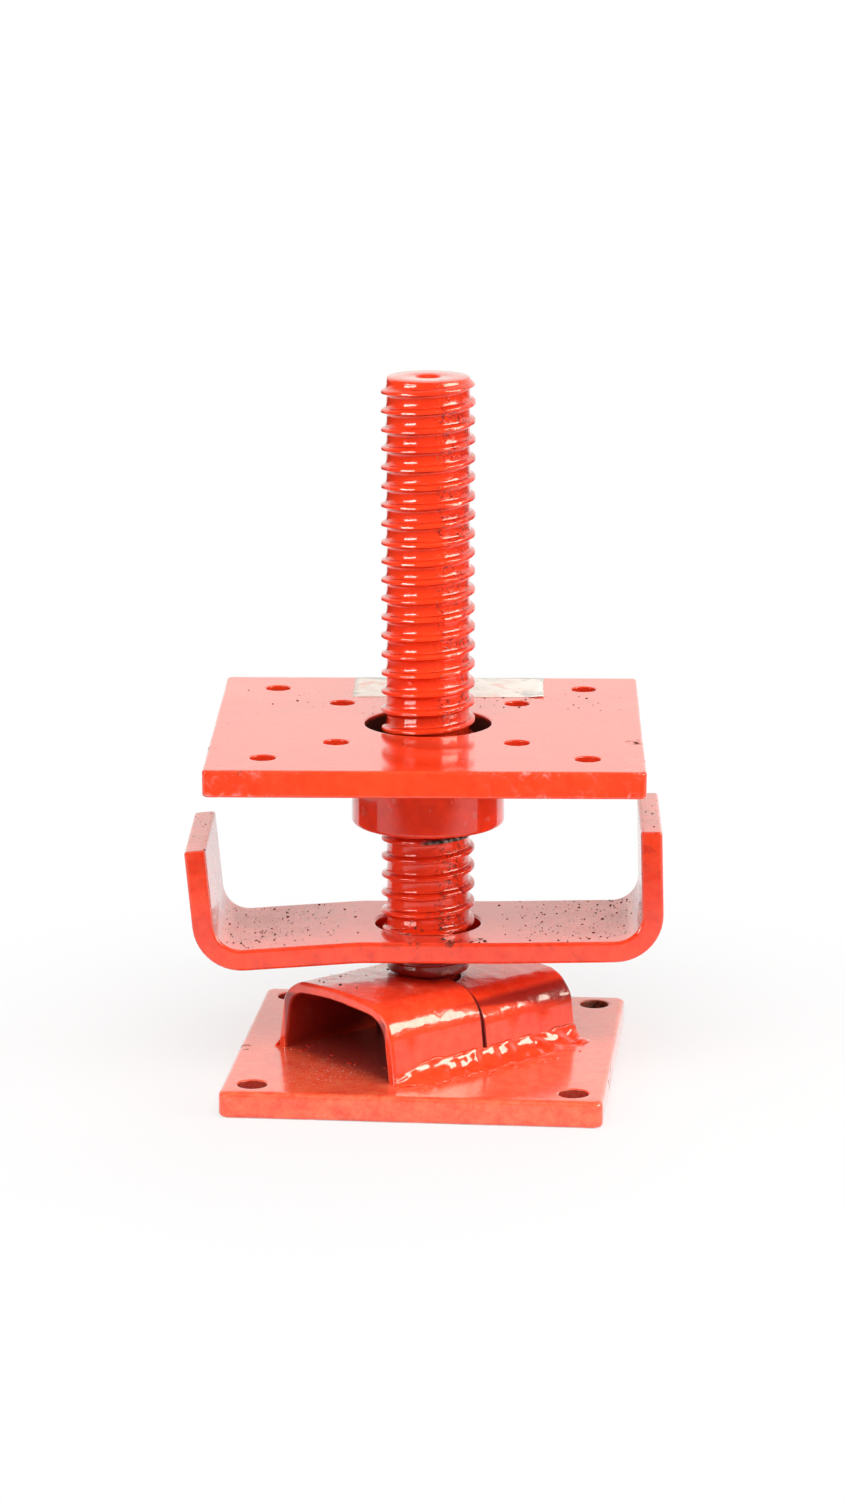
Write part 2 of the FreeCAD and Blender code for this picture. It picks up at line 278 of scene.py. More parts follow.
def scatter_dirt(bm, chance, count, x_range, y_range, largest):
    """Grains of dirt stuck to the upper side of a shape, in its second finish."""
    skin = BVHTree.FromBMesh(bm)
    for _ in range(count):
        above = Vector((chance.uniform(*x_range), chance.uniform(*y_range), ABOVE_ALL))
        spot, normal = skin.ray_cast(above, Vector((0, 0, -1)))[:2]
        if spot and normal.z > 0.3:
            radius = largest * (0.3 + 0.7 * chance.random() ** 2)
            shape = Matrix.Diagonal((chance.uniform(0.8, 1.5), chance.uniform(0.8, 1.5), 0.8, 1))
            place = Matrix.Translation(spot) @ shape
            grain = bmesh.ops.create_icosphere(bm, subdivisions=1, radius=radius, matrix=place)["verts"]
            for vert in grain:
                vert.co += normal * radius * 0.3 * rough(vert.co, 0.5)
                for face in vert.link_faces:
                    face.material_index = 1


def piece(bm, name, body, finish, node=None, crisp=True, dirt=None):
    """Makes a shape that was drawn in millimetres into a piece of the jack."""
    merge(bm)
    face_out(bm)
    bmesh.ops.scale(bm, vec=(MM, MM, MM), verts=bm.verts[:])
    for face in bm.faces:
        face.smooth = True
    mesh = bpy.data.meshes.new(name)
    bm.to_mesh(mesh)
    bm.free()
    mesh.materials.append(finish)
    if dirt:
        mesh.materials.append(dirt)
    obj = bpy.data.objects.new(name, mesh)
    bpy.context.scene.collection.objects.link(obj)
    if crisp:
        mesh.set_sharp_from_angle(angle=math.radians(CRISP_ANGLE))
        weighted = obj.modifiers.new("even shading", "WEIGHTED_NORMAL")
        weighted.keep_sharp = True
    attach(obj, body)
    if node:
        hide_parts(node)


def rim_at(bm, z):
    """Open edges at one height."""
    return [e for e in bm.edges if e.is_boundary and all(abs(v.co.z - z) < NEAR_ENOUGH for v in e.verts)]


def carry_rim(bm, edges, steps):
    """Carries an open rim round the axis on through (radius, height) steps and closes it."""
    for radius, z in steps:
        grown = bmesh.ops.extrude_edge_only(bm, edges=edges)["geom"]
        for vert in verts_of(grown):
            flat = Vector((vert.co.x, vert.co.y)).normalized() * radius
            vert.co = (flat.x, flat.y, z)
        edges = [e for e in edges_of(grown) if e.is_boundary]
    bmesh.ops.holes_fill(bm, edges=edges, sides=0)


def painted_thread(point, top):
    """Where a point of the thread ends up under thick, uneven paint."""
    x, y, z = point
    r = math.hypot(x, y)
    bearing = math.degrees(math.atan2(y, x))
    front, back = (max(0.0, 1 - abs(bearing - at) / reach) for at, reach in (LUMPY_FRONT, LUMPY_BACK))
    lumpy = 0.15 + 0.85 * front + 0.5 * back
    fade = min(1.0, max(0.0, (z - THREAD_RUNOUT) / THREAD_FADE), max(0.0, (top - z) / THREAD_FADE))
    height = (r - ROOT_R) / (CREST_R - ROOT_R)
    lumps = 0.26 * rough(point, 2.2, 2.0) + 0.13 * rough(point, 1.2, 8.0)
    uneven = 0.06 * rough(point, 5.0) + lumpy * lumps * (0.5 + 0.8 * height)
    runout = ROOT_R + max(0, z - THREAD_RUNOUT) * 0.5
    new_r = min(r + fade * uneven, CREST_R + 0.1, runout, ROOT_R + max(0, top - z) * 0.9)
    sag = fade * 0.16 * height * rough(point, 7.0, 5.0)
    return x * new_r / r, y * new_r / r, z + sag


def threaded_screw(finish):
    """Screw bar: rolled thread under thick paint, bare shank, neck, head, and a lathe centre in its top."""
    bm = bmesh.new()
    form = [bm.verts.new((r, 0, z)) for z, r in THREAD_FORM]
    edges = [bm.edges.new(pair) for pair in zip(form, form[1:])]
    bmesh.ops.spin(
        bm, geom=form + edges, cent=(0, 0, 0), axis=(0, 0, 1), dvec=(0, 0, PITCH / TURN_STEPS),
        angle=math.tau, steps=TURN_STEPS, use_merge=False, use_duplicate=False,
    )
    bmesh.ops.translate(bm, vec=(0, 0, THREAD_START), verts=bm.verts[:])
    first = everything(bm)
    for turn in range(1, THREAD_TURNS):
        copy = bmesh.ops.duplicate(bm, geom=first)["geom"]
        bmesh.ops.translate(bm, vec=(0, 0, turn * PITCH), verts=verts_of(copy))
    merge(bm, THREAD_MERGE)
    top = Z_SCREW_TOP - SCREW_EASE
    for vert in bm.verts:
        vert.co = painted_thread(vert.co, top)
    cut(bm, (0, 0, SHANK_TOP), (0, 0, 1), clear_inner=True)
    cut(bm, (0, 0, top), (0, 0, 1), clear_outer=True)
    merge(bm, THREAD_MERGE)
    carry_rim(bm, rim_at(bm, SHANK_TOP), (
        (ROOT_R, Z_SHOULDER + 0.8), (ROOT_R - 0.25, Z_SHOULDER + 0.25), (ROOT_R - 0.8, Z_SHOULDER),
        (NECK_R + 0.4, Z_SHOULDER), (NECK_R, Z_SHOULDER - 0.4), (NECK_R, Z_HEAD_TOP),
        (ROOT_R - 0.8, Z_HEAD_TOP), (ROOT_R - 0.2, Z_HEAD_TOP - 0.3), (ROOT_R, Z_HEAD_TOP - 0.8),
        (ROOT_R, Z_BASE_TOP + 1.5), (ROOT_R - 0.4, Z_BASE_TOP + 0.5), (ROOT_R - 1.5, Z_BASE_TOP),
    ))
    rounded = [(ROOT_R - 0.1, top + 0.26), (ROOT_R - 0.5, Z_SCREW_TOP)]
    carry_rim(bm, rim_at(bm, top), rounded + [(r, Z_SCREW_TOP - depth) for r, depth in LATHE_CENTRE])
    piece(bm, "screw_threaded", "spindle", finish, "jack_screw", crisp=False)


def nick_edges(bm, half, edge, seed):
    """Makes the sides of a plate a little uneven, with small nicks."""
    for vert in bm.verts:
        x, y, _ = vert.co
        if max(abs(x), abs(y)) > half - 2 * edge:
            out = Vector([c if abs(c) > half - NICK_BAND else 0 for c in (x, y)] + [0]).normalized()
            nick = max(0.0, rough(vert.co, 3.4, seed) - 0.42) * 1.3
            wavy = 0.12 * rough(vert.co, 12, seed) + 0.05 * rough(vert.co, 4, seed)
            vert.co += out * (wavy - 0.12 - nick)


def drilled_plate(side, corner, edge, holes, seed):
    """Square plate with rounded corners and edges, drilled, its top at zero height."""
    half = side / 2
    bm = bmesh.new()
    bmesh.ops.create_grid(bm, x_segments=1, y_segments=1, size=half)
    bmesh.ops.bevel(
        bm, geom=bm.verts[:], offset=corner, offset_type="OFFSET", segments=5, profile=0.5,
        affect="VERTICES", clamp_overlap=True, material=-1,
    )
    sides = [e for e in bm.edges if e.calc_length() > half]
    bmesh.ops.subdivide_edges(bm, edges=sides, cuts=PLATE_CUTS)
    bmesh.ops.delete(bm, geom=bm.faces[:], context="FACES_ONLY")
    inner = bmesh.ops.extrude_edge_only(bm, edges=bm.edges[:])["geom"]
    shrink = (half - 2 * edge - PLATE_RING) / half
    bmesh.ops.scale(bm, vec=(shrink, shrink, 1), verts=verts_of(inner))
    rims = far_rim(inner)
    for x, y, radius in holes:
        steps = WIDE_HOLE_STEPS if radius > WIDE_HOLE_R else HOLE_STEPS
        rims += hole_rim(bm, x, y, radius, HOLE_RING, steps)
    fill_flat(bm, rims)
    thicken(bm, -PLATE_THICK)
    edges = sharp_edges(bm, 60)
    inside = half - NEAR_ENOUGH - corner
    outer = [e for e in edges if max(max(abs(v.co.x), abs(v.co.y)) for v in e.verts) > inside]
    outer_set = set(outer)
    ease(bm, [e for e in edges if e not in outer_set], HOLE_EASE, 2)
    ease(bm, [e for e in outer if e.is_valid], edge, 4)
    nick_edges(bm, half, edge, seed)
    return bm


def square(spacing, radius):
    """Four holes at the corners of a square."""
    half = spacing / 2
    return [(sx * half, sy * half, radius) for sx in (-1, 1) for sy in (-1, 1)]


def base_plate(finish):
    """Square plate that the jack stands on."""
    bm = drilled_plate(BASE_SIDE, BASE_CORNER, BASE_EDGE, square(BASE_HOLE_SPACING, BASE_HOLE_R), 4.0)
    piece(placed(bm, 0, Z_BASE_TOP), "base_plate_painted", "base", finish, "base_plate")


def top_plate(finish, dirt):
    """Square plate under the timber, with a wide hole for the screw and two squares of nail holes."""
    holes = [(0, 0, PLATE_HOLE_R)]
    holes += square(PLATE_OUTER_SPACING, NAIL_R) + square(PLATE_INNER_SPACING, NAIL_R)
    bm = drilled_plate(PLATE_SIDE, PLATE_CORNER, PLATE_EDGE, holes, 9.0)
    chance = random.Random(31)
    for field in PLATE_DIRT:
        scatter_dirt(bm, chance, *field)
    piece(placed(bm, PLATE_TURN, Z_PLATE_TOP), "top_plate_painted", "lift", finish, "top_plate", dirt=dirt)


def carry_end(bm, face):
    """Draws the end of a bar out by one more face and returns the new end."""
    grown = faces_of(bmesh.ops.extrude_face_region(bm, geom=[face])["geom"])
    if face.is_valid:
        bmesh.ops.delete(bm, geom=[face], context="FACES_ONLY")
    return grown[0]


class BentEnd:
    """End face of a flat bar that is carried along runs and bends in the XZ plane, outwards on one side."""

    def __init__(self, bm, side):
        self.bm = bm
        self.side = side
        self.heading = 0.0
        self.face = max(bm.faces, key=lambda f: side * f.calc_center_median().x + 100 * side * f.normal.x)

    def direction(self):
        return Vector((self.side * math.cos(self.heading), 0, math.sin(self.heading)))

    def run(self, length, step=6.0):
        """Carries the end straight on."""
        count = max(1, round(length / step))
        for _ in range(count):
            self.face = carry_end(self.bm, self.face)
            bmesh.ops.translate(self.bm, vec=self.direction() * (length / count), verts=self.face.verts[:])

    def bend(self, angle, radius, step=8.0):
        """Turns upwards for a positive angle in degrees; the radius is the one of the mid-plane."""
        count = max(2, round(abs(angle) / step))
        turn = math.radians(angle) / count
        for _ in range(count):
            up = Vector((-self.side * math.sin(self.heading), 0, math.cos(self.heading)))
            centre = self.face.calc_center_median() + up * math.copysign(radius, angle)
            self.face = carry_end(self.bm, self.face)
            spin = Matrix.Rotation(-self.side * turn, 3, "Y")
            bmesh.ops.rotate(self.bm, cent=centre, matrix=spin, verts=self.face.verts[:])
            self.heading += turn


def setback(radius, angle):
    """Length that a bend takes off each of the two runs that it joins."""
    return radius * math.tan(math.radians(angle) / 2)


def bend_wing(bm, side, kink, reach, rise, droop, splay):
    """Bends one end of the bar: down or up a little beside the hole, then up as an arm."""
    mid = BAR_THICK / 2
    bend = 90 - splay + droop
    corner_z = mid - (reach - BAR_FLAT_HALF) * math.tan(math.radians(droop))
    tip_x = reach + (rise - corner_z) * math.tan(math.radians(splay))
    along = math.hypot(reach - BAR_FLAT_HALF, corner_z - mid)
    arm = math.hypot(tip_x - reach, rise - corner_z)
    kink_back = setback(BAR_KINK_R + mid, abs(droop))
    bend_back = setback(BAR_BEND_R + mid, bend)
    end = BentEnd(bm, side)
    end.run(kink - kink_back + 1e-3)
    end.bend(-droop, BAR_KINK_R + mid, 2.0)
    end.run(along - kink_back - bend_back)
    end.bend(bend, BAR_BEND_R + mid)
    end.run(arm - bend_back)


def scatter_wing_dirt(bm, chance, fields):
    """Grains of dirt on both wings of the handle."""
    for side in (-1, 1):
        for count, near, far, half, largest in fields:
            scatter_dirt(bm, chance, count, (side * near, side * far), (-half, half), largest)


def bent_handle(finish, dirt):
    """Flat bar bent up at both ends, with a clear hole for the screw."""
    kink = setback(BAR_KINK_R + BAR_THICK / 2, abs(LEFT_WING["droop"]))
    half_width = BAR_WIDTH / 2
    bm = bmesh.new()
    bmesh.ops.create_grid(bm, x_segments=1, y_segments=1, size=1)
    bmesh.ops.scale(bm, vec=(BAR_FLAT_HALF - kink, half_width, 1), verts=bm.verts[:])
    bmesh.ops.delete(bm, geom=bm.faces[:], context="FACES_ONLY")
    sides = [e for e in bm.edges if abs(e.verts[0].co.y - e.verts[1].co.y) < 1]
    bmesh.ops.subdivide_edges(bm, edges=sides, cuts=5)
    rims = bm.edges[:]
    fill_flat(bm, rims + hole_rim(bm, 0, 0, BAR_HOLE_R, BAR_HOLE_RING, BAR_HOLE_STEPS))
    thicken(bm, BAR_THICK)
    bend_wing(bm, -1, kink, **LEFT_WING)
    bend_wing(bm, 1, kink, **RIGHT_WING)
    face_out(bm)
    ease(bm, sharp_edges(bm, 50), BAR_EASE, 4)
    for vert in bm.verts:
        if abs(vert.co.y) > half_width - 1.2:
            vert.co.y -= math.copysign(0.10 + 0.12 * rough(vert.co, 7.0, 6.0), vert.co.y)
    chance = random.Random(12)
    scatter_wing_dirt(bm, chance, WING_DIRT)
    scatter_dirt(bm, chance, *SPILT_DIRT)
    scatter_wing_dirt(bm, chance, WING_FINE_DIRT)
    piece(placed(bm, HANDLE_TURN, Z_HANDLE), "handle_painted", "spindle", finish, "turning_handle", dirt=dirt)


def crown_drop(x):
    """How far the crowned roof of the saddle lies below its ridge."""
    half = SADDLE_CROWN_HALF
    run = abs(x) if abs(x) > half else x * x / (2 * half) + half / 2
    return SADDLE_CROWN_SLOPE * run


def notched_roof(bm, side, flat):
    """Flat roof of half a saddle, with half of the neck's hole in its inner edge."""
    near, far = -side * SADDLE_OVERLAP, side * SADDLE_LENGTH / 2
    start = math.asin(SADDLE_OVERLAP / SADDLE_NOTCH_R)
    first = bm.verts.new((SADDLE_NOTCH_R * math.cos(start), near, 0))
    arc = bmesh.ops.spin(
        bm, geom=[first], cent=(0, 0, 0), axis=(0, 0, 1), dvec=(0, 0, 0),
        angle=side * (math.pi + 2 * start), steps=40, use_merge=False, use_duplicate=False,
    )["geom_last"]
    corners = [bm.verts.new((x, y, 0)) for x, y in ((-flat, near), (-flat, far), (flat, far), (flat, near))]
    for pair in zip(verts_of(arc)[:1] + corners, corners + [first]):
        bm.edges.new(pair)
    bmesh.ops.contextual_create(bm, geom=bm.edges[:])


def raised_edges(bm):
    """Sharp edges of the saddle that are clear of the base."""
    return [e for e in sharp_edges(bm, 50) if max(v.co.z for v in e.verts) > Z_BASE_TOP + NEAR_ENOUGH]


def saddle_half(name, side, height, turn, finish, dirt, node):
    """Pressed arch over the screw's head, crowned, with half of the neck's hole in its roof."""
    splay = math.tan(math.radians(SADDLE_SPLAY))
    mid = SADDLE_SHEET / 2
    roof = height - mid
    foot = (SADDLE_WIDTH / 2 - mid / math.cos(math.atan(splay))) * (1 + SADDLE_CROWN_SLOPE * splay)
    shoulder = foot - roof * splay
    bend_r = SADDLE_BEND_R + mid
    back = setback(bend_r, 90 - SADDLE_SPLAY)
    bm = bmesh.new()
    notched_roof(bm, side, shoulder - back)
    thicken(bm, SADDLE_SHEET)
    bmesh.ops.translate(bm, vec=(0, 0, Z_BASE_TOP + roof - mid), verts=bm.verts[:])
    leg = math.hypot(foot - shoulder, roof) - back
    ends = []
    for end_side in (-1, 1):
        end = BentEnd(bm, end_side)
        end.bend(-(90 - SADDLE_SPLAY), bend_r, 6.0)
        end.run(leg)
        ends.append(end)
    for x in ROOF_CUTS:
        cut(bm, (x, 0, 0), (1, 0, 0))
    for vert in bm.verts:
        vert.co.z -= crown_drop(vert.co.x)
    for end in ends:
        slope = end.direction()
        slope.z -= SADDLE_CROWN_SLOPE * abs(slope.x)
        for vert in end.face.verts:
            vert.co += slope * ((Z_BASE_TOP - vert.co.z) / slope.z)
    face_out(bm)
    far = side * SADDLE_LENGTH / 2
    outer = [e for e in raised_edges(bm) if all(abs(v.co.y - far) < NEAR_ENOUGH for v in e.verts)]
    ease(bm, outer, SADDLE_END_EASE, 4)
    turn_about_screw(bm, turn)
    cut(bm, (0, side * SADDLE_SEAM / 2, 0), (0, -side, 0), clear_outer=True)
    bmesh.ops.holes_fill(bm, edges=[e for e in bm.edges if e.is_boundary], sides=0)
    for i in range(SLICES):
        cut(bm, (0, side * (SLICE_START + SLICE_STEP * i), 0), (0, 1, 0), SLICE_SLACK)
    face_out(bm)
    ease(bm, raised_edges(bm), SADDLE_EASE, 3)
    merge(bm, SADDLE_MERGE)
    bm.normal_update()
    for vert in bm.verts:
        if vert.co.z > Z_BASE_TOP + 0.5:
            vert.co += vert.normal * (0.15 * rough(vert.co, 8.0, 4.0) + 0.13 * rough(vert.co, 2.7, 7.0))
    scatter_dirt(bm, random.Random(5 + side), 16, (-20, 4), (side * 6, side * 34), 0.45)
    piece(placed(bm, SADDLE_TURN, 0), name, "base", finish, node, dirt=dirt)


def sweep_bead(bm, sections, closed):
    """Bead of weld through sections of points that all have the same count."""
    ring = [bm.verts.new(p) for p in sections[0]]
    start = [bm.edges.new(pair) for pair in zip(ring, ring[1:] + ring[:1])]
    edges = start
    for points in sections[1:]:
        grown = bmesh.ops.extrude_edge_only(bm, edges=edges)["geom"]
        fresh = set(verts_of(grown))
        ring = [next(e.other_vert(v) for e in v.link_edges if e.other_vert(v) in fresh) for v in ring]
        for vert, point in zip(ring, points):
            vert.co = point
        edges = far_rim(grown)
    if closed:
        bmesh.ops.bridge_loops(bm, edges=start + edges)
    else:
        bmesh.ops.contextual_create(bm, geom=start)
        bmesh.ops.contextual_create(bm, geom=edges)


def bead_section(width, rise, swell):
    """Points of a bulging fillet from its toe to its top, then the corner that it fills."""
    points = []
    for i in range(BEAD_POINTS):
        t = i / (BEAD_POINTS - 1)
        bulge = 0.7 * swell * math.sin(math.pi * t)
        points.append(((1 - t) * width + bulge, t * rise + bulge * math.copysign(1, rise)))
    return points + [(0.0, 0.0)]


def hollow_section(width, rise):
    """Points of a hollow fillet that runs out flat at its toe and its top, then the corner that it fills."""
    turns = [math.pi / 2 * i / (WELD_POINTS - 1) for i in range(WELD_POINTS)]
    return [(width * (1 - math.sin(t)), rise * (1 - math.cos(t))) for t in turns] + [(0.0, 0.0)]


def spatter(bm, chance, count, u_range, v_range):
    """Drops of weld that froze on the base, within ranges across and along the saddle."""
    for _ in range(count):
        radius = chance.uniform(0.25, 0.75)
        shape = Matrix.Diagonal((1, chance.uniform(0.9, 1.6), 0.65, 1))
        place = Matrix.Translation((chance.uniform(*u_range), chance.uniform(*v_range), Z_BASE_TOP)) @ shape
        bmesh.ops.create_icosphere(bm, subdivisions=2, radius=radius, matrix=place)


def wave(s, length, row, seed):
    """Unevenness along a bead."""
    return noise.noise(Vector((s / length, row, seed)))


def weld_stations():
    """Places along the saddle, with the bearing round its corners and the length of bead so far."""
    half = SADDLE_LENGTH / 2
    count = WELD_END_STEPS
    stations = [(-half, math.radians(-90 + 90 * i / count), i * WELD_END_STEP) for i in range(count)]
    for i in range(WELD_SIDE_STEPS + 1):
        run = SADDLE_LENGTH * i / WELD_SIDE_STEPS
        stations.append((-half + run, 0.0, WELD_SIDE_FROM + run))
    for i in range(1, count + 1):
        stations.append((half, math.radians(90 * i / count), WELD_SIDE_TO + i * WELD_END_STEP))
    return stations


def saddle_weld(name, node, finish, side, seed, run_in, drops, fields):
    """Uneven fillet along one side of both saddle halves, with drops along its toe and spatter before it."""
    outline = hollow_section(1.30 * WELD_LEG, 1.15 * WELD_LEG)
    splay = math.tan(math.radians(SADDLE_SPLAY))
    sections = []
    for y, angle, s in weld_stations():
        size = 1 + 0.20 * wave(s, 9.0, seed, 0) + 0.10 * wave(s, 4.0, seed, 7)
        start = 0.16 + 0.84 * (max(0.0, s - 4) / run_in) ** 0.8
        size *= min(1.0, start, 0.35 + 0.65 * (WELD_TO - s) / 9)
        spread = 1 + 0.30 * wave(s, 7.0, seed, 11) + 0.12 * wave(s, 3.0, seed, 13)
        share = min(1.0, max(0.0, (y + 2) / 4))
        turn = SADDLE_LEFT_TURN + (SADDLE_RIGHT_TURN - SADDLE_LEFT_TURN) * share
        askew = Matrix.Rotation(math.radians(turn), 3, "Z")
        points = []
        for k, (a, b) in enumerate(outline):
            a, b = a * size * spread, b * size
            belly = math.sin(math.pi * min(1.0, k / (WELD_POINTS - 1)))
            fill = 1.3 * wave(s, 4.0, k / 4.0, seed + 40) * belly
            for at, length, place, height in drops:
                fill += height * math.exp(-((s - at) / length) ** 2 - ((k - place) / 2.6) ** 2)
            if 0 < k < len(outline) - 2:
                a, b = max(0.02, a + 0.55 * fill), max(0.02, b + 0.75 * fill)
            out = SADDLE_WIDTH / 2 + a * math.cos(angle) - b * splay * math.cos(angle) ** 2
            points.append(askew @ Vector((side * out, y + a * math.sin(angle), Z_BASE_TOP + b)))
        sections.append(points)
    bm = bmesh.new()
    sweep_bead(bm, sections, closed=False)
    chance = random.Random(int(seed))
    for field in fields:
        spatter(bm, chance, *field)
    piece(placed(bm, SADDLE_TURN, 0), name, "base", finish, node, crisp=False)


def ring_weld(name, body, node, finish, steps, section):
    """Bead round the screw's axis. section gives its (radius, height) points at an angle."""
    sections = []
    for i in range(steps):
        angle = math.tau * i / steps
        around = Vector((math.cos(angle), math.sin(angle), 0))
        sections.append([(r * around.x, r * around.y, z) for r, z in section(angle, around)])
    bm = bmesh.new()
    sweep_bead(bm, sections, closed=True)
    piece(bm, name, body, finish, node, crisp=False)


def handle_weld_section(angle, around):
    """Bead under the bar that also fills the gap round the screw, brimming over at the front."""
    outline = bead_section(BAR_HOLE_R + 1.5 - ROOT_R, -2.4, 0.6)[:-1]
    size = 1 + 0.14 * noise.noise(around * 2.6) + 0.06 * noise.noise(around * 7.0)
    front = math.exp(-((math.remainder(angle + math.pi / 2, math.tau) / 0.95) ** 4))
    uneven = 0.35 * noise.noise(around * 5.0 + Vector((3, 0, 0)))
    level = Z_HANDLE + 0.8 + uneven + (BAR_THICK - 0.6) * front
    wall = BAR_HOLE_R + 0.1
    points = [(ROOT_R + a * size, Z_HANDLE + b * size) for a, b in outline]
    points += [(ROOT_R - 0.2, level + 0.7), (ROOT_R + 1.0, level + 0.6), (BAR_HOLE_R - 1.0, level + 0.2)]
    return points + [(wall + 0.9 * front, level), (wall, level - 0.4), (wall, Z_HANDLE + 0.1)]


def nut_weld_section(_, around):
    """Bead between the nut and the underside of the top plate."""
    outline = bead_section(NUT_WELD_LEG, -NUT_WELD_LEG, 0.14 * NUT_WELD_LEG)
    spot = around * COLLAR_R
    size = 1 + 0.16 * noise.noise(spot / 5.0 + Vector((NUT_WELD_SEED, 0, 0))) + 0.08 * noise.noise(spot / 1.8)
    points = []
    for k, (a, b) in enumerate(outline):
        crumple = 1 + 0.12 * noise.noise(spot / 2.2 + Vector((0, NUT_WELD_SEED, k / 2.0)))
        points.append((COLLAR_R + a * size * crumple, Z_PLATE + b * size * crumple))
    return points


def nut_collar(finish):
    """Round nut with its lower rim rounded and its mouths chamfered."""
    mouth = COLLAR_BORE_R + COLLAR_MOUTH
    outline = (
        (mouth, Z_COLLAR), (COLLAR_R, Z_COLLAR), (COLLAR_R, Z_PLATE), (mouth, Z_PLATE),
        (COLLAR_BORE_R, Z_PLATE - COLLAR_MOUTH), (COLLAR_BORE_R, Z_COLLAR + COLLAR_MOUTH),
    )
    bm = bmesh.new()
    chain = [bm.verts.new((r, 0, z)) for r, z in outline]
    edges = [bm.edges.new(pair) for pair in zip(chain, chain[1:] + chain[:1])]
    bmesh.ops.spin(
        bm, geom=chain + edges, cent=(0, 0, 0), axis=(0, 0, 1), dvec=(0, 0, 0),
        angle=math.tau, steps=COLLAR_STEPS, use_merge=True, use_duplicate=False,
    )
    merge(bm)
    face_out(bm)
    lower = [e for e in sharp_edges(bm, 60) if all(v.co.z < Z_COLLAR + 1 for v in e.verts)]
    ease(bm, [e for e in lower if all(v.co.xy.length > 20 for v in e.verts)], COLLAR_RIM_EASE, 4)
    ease(bm, [e for e in sharp_edges(bm, 40) if e.verts[0].co.z < Z_PLATE - 0.1], COLLAR_EASE, 2)
    piece(bm, "nut_collar_painted", "lift", finish, "nut_collar")


def blank_label(finish):
    """Thin blank paper label stuck to the rear of the top plate."""
    bm = bmesh.new()
    bmesh.ops.create_grid(bm, x_segments=30, y_segments=16, size=0.5)
    bmesh.ops.scale(bm, vec=(*LABEL_SIZE, 1), verts=bm.verts[:])
    bmesh.ops.translate(bm, vec=(*LABEL_PLACE, 0), verts=bm.verts[:])
    for vert in bm.verts:
        x, y, _ = vert.co
        curl = max(0.0, 1 - math.hypot(x - LABEL_CURL[0], y - LABEL_CURL[1]) / LABEL_CURL_REACH)
        vert.co.z = 0.05 + 0.03 * rough((x, y, 0), 6.0, 1.0) + LABEL_CURL_RISE * curl ** 2
        vert.co.x += 0.25 * rough((x, y, 3), 4.0, 2.0)
        vert.co.y += 0.20 * rough((x, y, 6), 4.0, 3.0)
    bmesh.ops.solidify(bm, geom=bm.faces[:], thickness=LABEL_THICK)
    piece(placed(bm, PLATE_TURN, Z_PLATE_TOP + 0.06), "label_blank", "lift", finish, crisp=False)


def both_ways(operation):
    """An operator between values, and its reflected form."""
    def forward(self, other):
        return self.math(operation, self, other)

    def reflected(self, other):
        return self.math(operation, other, self)

    return forward, reflected


class Value:
    """One socket of a finish. Arithmetic on it adds Math nodes."""

    def __init__(self, finish, socket):
        self.finish = finish
        self.socket = socket

    def also(self, name):
        """Another output of the same node, by name or number."""
        return Value(self.finish, self.socket.node.outputs[name])

    def math(self, operation, a, b=0.0):
        return self.finish.node("ShaderNodeMath", dict(operation=operation), {0: a, 1: b})

    __add__, __radd__ = both_ways("ADD")
    __sub__, __rsub__ = both_ways("SUBTRACT")
    __mul__, __rmul__ = both_ways("MULTIPLY")
    __truediv__, __rtruediv__ = both_ways("DIVIDE")

    # The stronger and the weaker of two masks
    __or__, __ror__ = both_ways("MAXIMUM")
    __and__, __rand__ = both_ways("MINIMUM")

    def __abs__(self):
        return self.math("ABSOLUTE", self)

    def fraction(self):
        return self.math("FRACT", self)

    def angle_from(self, x):
        return self.math("ARCTAN2", self, x)

    def step(self, low, high):
        """Smooth rise from 0 at low to 1 at high, or a fall where low is above high."""
        settings = dict(interpolation_type="SMOOTHSTEP")
        ends = {"From Min": min(low, high), "From Max": max(low, high)}
        ends.update({"To Min": 0.0, "To Max": 1.0} if low < high else {"To Min": 1.0, "To Max": 0.0})
        return self.finish.node("ShaderNodeMapRange", settings, {"Value": self, **ends})

    def step_mm(self, low, high):
        """The same for a length, with its limits in millimetres."""
        return self.step(low * MM, high * MM)


